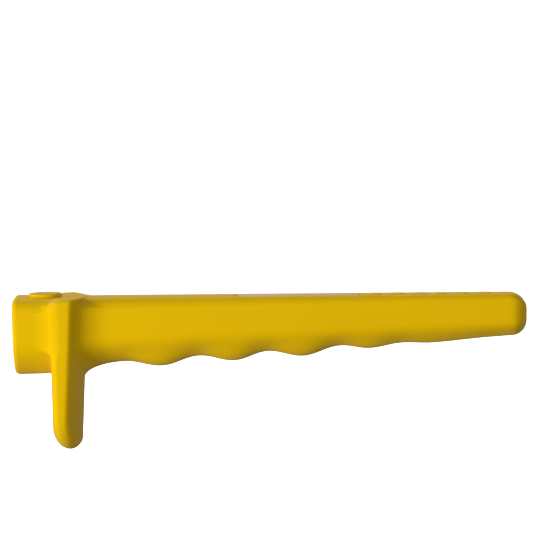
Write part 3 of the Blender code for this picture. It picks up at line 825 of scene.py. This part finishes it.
def moulded_handle(material):
    """The moulding, with the button's hole, the recess and the raised dashes."""
    angles = ring_angles()
    lines = [np.concatenate([inner_profile(a), outer_profile(a)]) for a in angles]
    rings = []
    for station in range(len(lines[0])):
        ring = []
        for angle, line in zip(angles, lines):
            x, r = line[station]
            ring.append((x, r * math.sin(angle), r * math.cos(angle) + centre_height(x)))
        rings.append(ring)
    made = finished("moulded_handle", ring_loft(rings), material)

    top = flat_height(BUTTON_X)
    hole = BUTTON_RADIUS + GAP
    profile = [(0, top - 2 * WALL), (hole, top - 2 * WALL), (hole, top - EDGE_SOFT)]
    profile += [(hole + EDGE_SOFT * (1 - c), top - EDGE_SOFT * (1 - s)) for s, c in quarter(5)]
    profile += [(hole + 2 * EDGE_SOFT, top + WALL), (0, top + WALL)]
    well = lathe(profile, (BUTTON_X, 0))

    def recess_outline(inset):
        return rounded_outline(RECESS_START, RECESS_END, RECESS_WIDTH, RECESS_CORNER, inset)

    levels = [(EDGE_SOFT, -RECESS_DEPTH), (0, EDGE_SOFT - RECESS_DEPTH), (0, -EDGE_SOFT)]
    levels += [(-EDGE_SOFT * (1 - c), -EDGE_SOFT * (1 - s)) for s, c in quarter(4)]
    levels.append((-2 * EDGE_SOFT, RECESS_CUTTER_TOP))
    recess = on_flat(cushion(recess_outline, levels))
    cut(made, joined([well, recess]))

    levels = [(0, -DASH_ROOT), (0, DASH_HEIGHT - DASH_SOFT)]
    levels += [(DASH_SOFT * (1 - c), DASH_HEIGHT - DASH_SOFT * (1 - s)) for s, c in quarter(5)]
    dashes = []
    for start in DASH_STARTS:
        start *= MM

        def dash_outline(inset, start=start):
            return rounded_outline(start, start + DASH_LENGTH, DASH_WIDTH, DASH_CORNER, inset)

        dashes.append(on_flat(cushion(dash_outline, levels)))
    cut(made, joined(dashes), "UNION")
    shaded(made.data, material, SHARP)
    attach(made, "handle")
    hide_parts("handle_body")


def blank_label(material):
    """Blank strip on the floor of the recess, with rounded corners."""
    def outline(inset):
        return rounded_outline(RECESS_START + GAP, RECESS_END - GAP, RECESS_WIDTH - 2 * GAP,
                               RECESS_CORNER - GAP, inset)

    levels = [(0, -LABEL_SINK - LABEL_THICKNESS), (0, -LABEL_SINK - LABEL_SOFT)]
    levels += [(LABEL_SOFT * (1 - c), -LABEL_SINK - LABEL_SOFT * (1 - s)) for s, c in quarter(3)]
    made = finished("blank_label", on_flat(cushion(outline, levels)), material, "handle")
    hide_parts("label_plate")


def thumb_button(material):
    """Push button: rounded rim, faint thumb dish, hollow below with its snap lip."""
    top = BUTTON_HIGH.z
    crown = top - BUTTON_CROWN
    shoulder = PLATE_TOP + GAP
    lip_top = PLATE_LOW - GAP
    lip_low = lip_top - BUTTON_LIP_EDGE
    bottom = lip_low - BUTTON_LIP_TAPER
    profile = [(r, top - DISH_DEPTH * (1 - eased(r / DISH_RADIUS)))
               for r in [0.0] + spaced(0, DISH_RADIUS, 10)]
    profile += [(BUTTON_RADIUS - BUTTON_EDGE * (1 - s), top - BUTTON_EDGE * (1 - c))
                for s, c in whole_quarter(6)]
    rest = [(BUTTON_RADIUS, shoulder), (BUTTON_NECK, shoulder), (BUTTON_NECK, lip_top),
            (BUTTON_LIP, lip_top), (BUTTON_LIP, lip_low), (BUTTON_NECK, bottom),
            (BUTTON_BORE, bottom), (BUTTON_BORE, crown), (0, crown)]
    profile += softened([profile[-1]] + rest, BUTTON_SOFT, 3, closed=False)[1:]
    made = finished("thumb_button", lathe(profile, (BUTTON_X, 0), BUTTON_ROUND), material,
                    "button")
    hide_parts("lock_button")


def latch_loop(material):
    """Steel loop under the button: plate with its eye, two legs, and the catch below."""
    low = PLATE_LOW
    bend = spaced(0, math.pi, BEND_STEPS)
    outline = [(LOOP_OUTER - LOOP_CHAMFER, PLATE_TOP), (LOOP_OUTER, PLATE_TOP - LOOP_CHAMFER),
               (LOOP_OUTER, 0)]
    outline += [(LOOP_OUTER * math.cos(a), -LOOP_OUTER * math.sin(a)) for a in bend]
    outline += [(-LOOP_OUTER, PLATE_TOP - LOOP_CHAMFER), (LOOP_CHAMFER - LOOP_OUTER, PLATE_TOP)]
    inside = [(LOOP_CHAMFER - LOOP_INNER, low), (-LOOP_INNER, low - LOOP_CHAMFER),
              (-LOOP_INNER, 0)]
    inside += [(-LOOP_INNER * math.cos(a), -LOOP_INNER * math.sin(a)) for a in bend]
    inside += [(LOOP_INNER, low - LOOP_CHAMFER), (LOOP_INNER - LOOP_CHAMFER, low)]
    inside.reverse()
    half = LEG_LENGTH / 2
    rings = [[(BUTTON_X + x, y, z) for y, z in line] for x, line in (
        (-half, outline), (half, outline), (half, inside), (-half, inside))]
    made = finished("latch_loop", ring_loft(rings, closed=True), material, sharp=STEEL_SHARP)

    def plate_outline(inset):
        half_length = PLATE_LENGTH / 2
        return rounded_outline(BUTTON_X - half_length, BUTTON_X + half_length,
                               2 * (LOOP_OUTER - LOOP_CHAMFER), PLATE_CORNER, inset)

    soft = LOOP_SOFT
    plate = cushion(plate_outline, [(soft, low), (0, low + soft), (0, PLATE_TOP - soft),
                                    (soft, PLATE_TOP)])
    cut(made, plate, "UNION")
    half = CATCH_LENGTH / 2
    root = -LOOP_INNER - CATCH_ROOT
    corners = [(-half, root), (half, root), (half, CATCH_TOP), (-half, CATCH_TOP - CATCH_LEAD)]
    side = softened(corners, CATCH_SOFT)
    catch = ring_loft([[(BUTTON_X + x, y, z) for x, z in side]
                       for y in (-CATCH_HALF_WIDTH, CATCH_HALF_WIDTH)])
    cut(made, catch, "UNION")
    eye = BUTTON_NECK + GAP
    hole = lathe([(0, low - MM), (eye, low - MM), (eye, PLATE_TOP - soft),
                  (eye + soft, PLATE_TOP), (eye + soft, PLATE_TOP + MM), (0, PLATE_TOP + MM)],
                 (BUTTON_X, 0))
    cut(made, hole)
    shaded(made.data, material, STEEL_SHARP)
    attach(made, "button")
    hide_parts("latch_stirrup")


def spring_washer(material):
    """Washer with the boss that centres the spring's foot."""
    low, high = WASHER_LOW.z, WASHER_HIGH.z
    radius = (WASHER_HIGH.y - WASHER_LOW.y) / 2
    ledge = low + WASHER_THICKNESS
    corners = [(0, high), (BOSS_RADIUS, high), (BOSS_RADIUS, ledge), (radius, ledge),
               (radius, low), (0, low)]
    profile = softened(corners, WASHER_SOFT, closed=False)
    made = finished("spring_washer", lathe(profile, (BUTTON_X, 0)), material, "handle")
    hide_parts("spring_seat")


def coil_spring(material):
    """Compression spring with closed end coils, on a mesh of its own; the real spring shortens as
    the button goes in.
    """
    foot = SPRING_LOW.z + WIRE_RADIUS
    head = SPRING_HIGH.z - WIRE_RADIUS
    radius = (SPRING_HIGH.y - SPRING_LOW.y) / 2 - WIRE_RADIUS
    rings = []
    for k in range(round(COIL_TURNS * COIL_STEPS) + 1):
        turn = k / COIL_STEPS
        if turn < 1:
            z = foot + END_COIL_RISE * turn ** 2
        elif turn > COIL_TURNS - 1:
            z = head - END_COIL_RISE * (COIL_TURNS - turn) ** 2
        else:
            share = (turn - 1) / (COIL_TURNS - 2)
            z = foot + END_COIL_RISE + (head - foot - 2 * END_COIL_RISE) * share
        angle = 2 * math.pi * turn
        outward = Vector((math.cos(angle), math.sin(angle), 0))
        centre = outward * radius + Vector((BUTTON_X, 0, z))
        rings.append([tuple(centre + outward * WIRE_RADIUS * math.cos(a)
                            + Vector((0, 0, WIRE_RADIUS * math.sin(a))))
                      for a in spaced(0, 2 * math.pi, WIRE_STEPS)])
    made = finished("coil_spring", ring_loft(rings), material, "handle")
    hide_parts("button_spring")
    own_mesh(made)


def mouth_ring(x, inset):
    """The cavity's own D section just inside the mouth, drawn in by the inset."""
    inset += WALL
    depth = SEAL_HIGH.x - MOUTH
    return d_ring(x, SOCKET_HALF_WIDTH - inset, flat_height(depth) - inset,
                  SOCKET_DROP - inset, SOCKET_CORNER - inset)


def bore_ring(x, inset):
    """The sleeve's D-shaped bore at station x, drawn in by the inset."""
    radius = SLEEVE_RADIUS - SLEEVE_WALL - inset
    return d_ring(x, radius, SLEEVE_TOP - SLEEVE_WALL - inset, radius, BORE_CORNER - inset)


def steel_sleeve(material):
    """Pressed D-shaped sleeve: rolled mouth edge, flat collar, slot for the catch."""
    sink = SLEEVE_LOW.x - MOUTH
    end = SLEEVE_HIGH.x - MOUTH
    back = sink + COLLAR_THICKNESS
    soft = SLEEVE_SOFT

    def outer(x, grow=0.0):
        size = SLEEVE_RADIUS + grow
        return d_ring(x, size, SLEEVE_TOP + grow, size, SLEEVE_CORNER + grow)

    def collar(x, inset=0.0):
        return mouth_ring(x, 2 * GAP + SEAL_WIDTH + inset)

    rings = [bore_ring(end, 0)]
    rings += [bore_ring(x, 0) for x in spaced(end, sink + 2 * soft, SLEEVE_STEPS)]
    rings += [bore_ring(sink + 2 * soft * c, -2 * soft * (1 - c)) for _, c in quarter(5)]
    rings += [collar(sink + soft * (1 - c), soft * (1 - s)) for s, c in whole_quarter(4)]
    rings += [collar(back - soft * s, soft * (1 - c)) for s, c in reversed(quarter(4))]
    rings += [collar(back, soft)]
    rings += [outer(back + 2 * soft * (1 - c), 2 * soft * (1 - s)) for s, c in whole_quarter(4)]
    rings += [outer(x) for x in spaced(back + 2 * soft, end, SLEEVE_STEPS)]
    made = finished("steel_sleeve", ring_loft(rings, closed=True), material, sharp=STEEL_SHARP)

    def slot_outline(inset):
        half_length = CATCH_LENGTH / 2 + GAP
        return rounded_outline(BUTTON_X - half_length, BUTTON_X + half_length,
                               2 * (CATCH_HALF_WIDTH + GAP), SLOT_CORNER, inset)

    slot = cushion(slot_outline, [(0, -SLEEVE_RADIUS - MM), (0, CATCH_TOP + GAP)])
    cut(made, slot)
    shaded(made.data, material, STEEL_SHARP)
    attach(made, "handle")
    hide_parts("socket_sleeve")


def mouth_sealing_ring(material):
    """Rubber ring between the collar and the moulding, with rounded edges."""
    start = SEAL_LOW.x - MOUTH
    end = SEAL_HIGH.x - MOUTH
    inner, outer = GAP + SEAL_WIDTH, GAP
    corners = [(start, inner), (start, outer), (end, outer), (end, inner)]
    section = softened(corners, SEAL_SOFT, 5)
    rings = [mouth_ring(x, inset) for x, inset in section]
    made = finished("mouth_sealing_ring", ring_loft(rings, closed=True), material, "handle")
    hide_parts("mouth_seal")


def rubber_buffer(material):
    """Rubber plug: a pad in the sleeve's end, and a spigot in the tube behind it."""
    face = BUFFER_LOW.x - MOUTH
    shoulder = face + PAD_HEIGHT
    back = face + BUFFER_LENGTH
    end = BUFFER_HIGH.x - MOUTH
    tube_height = (TUBE_LOW.z + TUBE_HIGH.z) / 2
    soft = BUFFER_SOFT

    def outer(x, inset=0.0):
        ring = []
        for angle in spaced(0, 2 * math.pi, D_STEPS):
            across, along = math.sin(angle), math.cos(angle)
            r = core_radius(back, abs(across), along) - GAP - inset
            ring.append((x, r * across, r * along + centre_height(back)))
        return ring

    def spigot(x, inset=0.0):
        radius = SPIGOT_RADIUS - inset
        return [(x, radius * math.sin(a), radius * math.cos(a) + tube_height)
                for a in spaced(0, 2 * math.pi, D_STEPS)]

    rounding = whole_quarter(4)
    rings = [bore_ring(face + soft * (1 - c), GAP + soft * (1 - s)) for s, c in rounding]
    rings += [bore_ring(shoulder, GAP)]
    rings += [outer(shoulder + soft * (1 - c), soft * (1 - s)) for s, c in rounding]
    rings += [outer(back - soft * s, soft * (1 - c)) for s, c in reversed(quarter(4))]
    rings += [outer(back, soft), spigot(back)]
    rings += [spigot(end - soft * s, soft * (1 - c)) for s, c in reversed(quarter(4))]
    rings += [spigot(end, soft)]
    made = finished("rubber_buffer", ring_loft(rings), material, "handle")
    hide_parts("shank_buffer")


def stiffening_tube(material):
    """Aluminium tube in the grip, with its cut ends broken."""
    middle = (TUBE_LOW.z + TUBE_HIGH.z) / 2
    radius = (TUBE_HIGH.y - TUBE_LOW.y) / 2
    inner = radius - TUBE_WALL
    start, end = TUBE_LOW.x - MOUTH, TUBE_HIGH.x - MOUTH
    corners = [(inner, start), (radius, start), (radius, end), (inner, end)]
    rings = [[(x, r * math.sin(a), r * math.cos(a) + middle)
              for a in spaced(0, 2 * math.pi, ROUND)]
             for r, x in softened(corners, TUBE_SOFT, 3)]
    made = finished("stiffening_tube", ring_loft(rings, closed=True), material, "handle")
    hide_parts("core_tube")


# ---------------------------------------------------------------- stage, lights and camera

VIEW_POINT = Vector((0.06135, 0, 0.0223))
VIEW_DISTANCE = 1.518
VIEW_TILT = math.radians(5)
VIEW_ROLL = math.radians(-1.5)
LENS = 273                      # focal length and sensor width (mm)
SENSOR_WIDTH = 36
CLIP_START = 0.05
CLIP_END = 60
FLOOR_DROP = 0.12               # floor below the guard's tip
FLOOR_SIZE = 40
FLOOR_GLOW = 1.0
WORLD_LIGHT = 0.23              # the surroundings' strength as light,
WORLD_WHITE = 1.2               # and as seen by the camera
LIGHT_TARGET = Vector((0.02, 0, 0))
# Name, direction from the target, distance and size (m), power (W), whether gloss mirrors it
LIGHTS = (
    ("key", (-0.79, -0.61, 0.04), 1.4, (0.6, 0.6), 19, False),
    ("sheen", (-0.2, -0.95, 0.3), 1.6, (1.6, 1.2), 4, True),
    ("fill", (0.8, -0.45, 0.2), 1.6, (1, 0.8), 1.5, False),
    ("back", (-0.12, 0.8, 0.5), 1.4, (0.9, 0.6), 18, False),
)


def floor():
    """Plain white floor, well below the handle, that neither lights nor mirrors in it."""
    bm = bmesh.new()
    bmesh.ops.create_grid(bm, x_segments=4, y_segments=4, size=FLOOR_SIZE / 2)
    bmesh.ops.translate(bm, vec=(0, 0, BODY_LOW.z - FLOOR_DROP), verts=bm.verts)
    m = Nodes("floor_white")
    tone = m.mixed(m.share(m.noise(scale=3)), *FLOOR_WHITE)
    m.shader.inputs["Emission Color"].default_value = (1, 1, 1, 1)
    m.shader.inputs["Emission Strength"].default_value = FLOOR_GLOW
    mesh = bpy.data.meshes.new("floor")
    bm.to_mesh(mesh)
    bm.free()
    rough = m.ranged(m.noise(scale=5), 0.7, 0.8)
    mesh.materials.append(m.finish(tone, rough, specular=0.1))
    made = bpy.data.objects.new("floor", mesh)
    bpy.context.scene.collection.objects.link(made)
    made.visible_diffuse = False
    made.visible_glossy = False
    made.visible_shadow = False


def softbox(name, direction, distance, size, power, mirrored):
    """An area light that looks at the target from a direction, seen in gloss only if mirrored."""
    light = bpy.data.lights.new(name, "AREA")
    light.shape = "RECTANGLE"
    light.size, light.size_y = size
    light.energy = power
    made = bpy.data.objects.new(name, light)
    bpy.context.scene.collection.objects.link(made)
    toward = Vector(direction).normalized()
    made.location = LIGHT_TARGET + toward * distance
    made.rotation_euler = (-toward).to_track_quat("-Z", "Y").to_euler()
    made.visible_camera = False
    made.visible_glossy = mirrored


def surroundings():
    """White to the camera, and an even dim grey to everything that it lights."""
    world = bpy.data.worlds.new("studio")
    bpy.context.scene.world = world
    world.use_nodes = True
    tree = world.node_tree
    background = tree.nodes["Background"]
    background.inputs["Color"].default_value = (1, 1, 1, 1)
    background.inputs["Strength"].default_value = WORLD_LIGHT
    white = tree.nodes.new("ShaderNodeBackground")
    white.inputs["Color"].default_value = (1, 1, 1, 1)
    white.inputs["Strength"].default_value = WORLD_WHITE
    mix = tree.nodes.new("ShaderNodeMixShader")
    path = tree.nodes.new("ShaderNodeLightPath")
    tree.links.new(path.outputs["Is Camera Ray"], mix.inputs["Fac"])
    tree.links.new(background.outputs[0], mix.inputs[1])
    tree.links.new(white.outputs[0], mix.inputs[2])
    tree.links.new(mix.outputs[0], tree.nodes["World Output"].inputs["Surface"])


def camera():
    """The photograph's view: from the side, a little from above."""
    data = bpy.data.cameras.new("camera")
    data.lens = LENS
    data.sensor_width = SENSOR_WIDTH
    data.clip_start = CLIP_START
    data.clip_end = CLIP_END
    made = bpy.data.objects.new("camera", data)
    bpy.context.scene.collection.objects.link(made)
    forward = Vector((0, math.cos(VIEW_TILT), -math.sin(VIEW_TILT)))
    made.location = VIEW_POINT - forward * VIEW_DISTANCE
    look = forward.to_track_quat("-Z", "Y").to_matrix().to_4x4()
    made.rotation_euler = (look @ Matrix.Rotation(VIEW_ROLL, 4, "Z")).to_euler()
    bpy.context.scene.camera = made


# ---------------------------------------------------------------- the scene

yellow = moulded_yellow("moulded_yellow", 0.36, 0.44, 0.02 * MM)
smooth_yellow = moulded_yellow("smooth_yellow", 0.3, 0.36, 0.012 * MM)
steel = plated_steel()
rubber = moulded_rubber()

moulded_handle(yellow)
blank_label(label_film())
thumb_button(smooth_yellow)
latch_loop(steel)
spring_washer(steel)
coil_spring(drawn_wire())
steel_sleeve(steel)
mouth_sealing_ring(rubber)
rubber_buffer(rubber)
stiffening_tube(drawn_aluminium())

floor()
surroundings()
for light in LIGHTS:
    softbox(*light)
camera()
bpy.context.scene.view_settings.view_transform = "Standard"
bpy.context.scene.view_settings.look = "None"
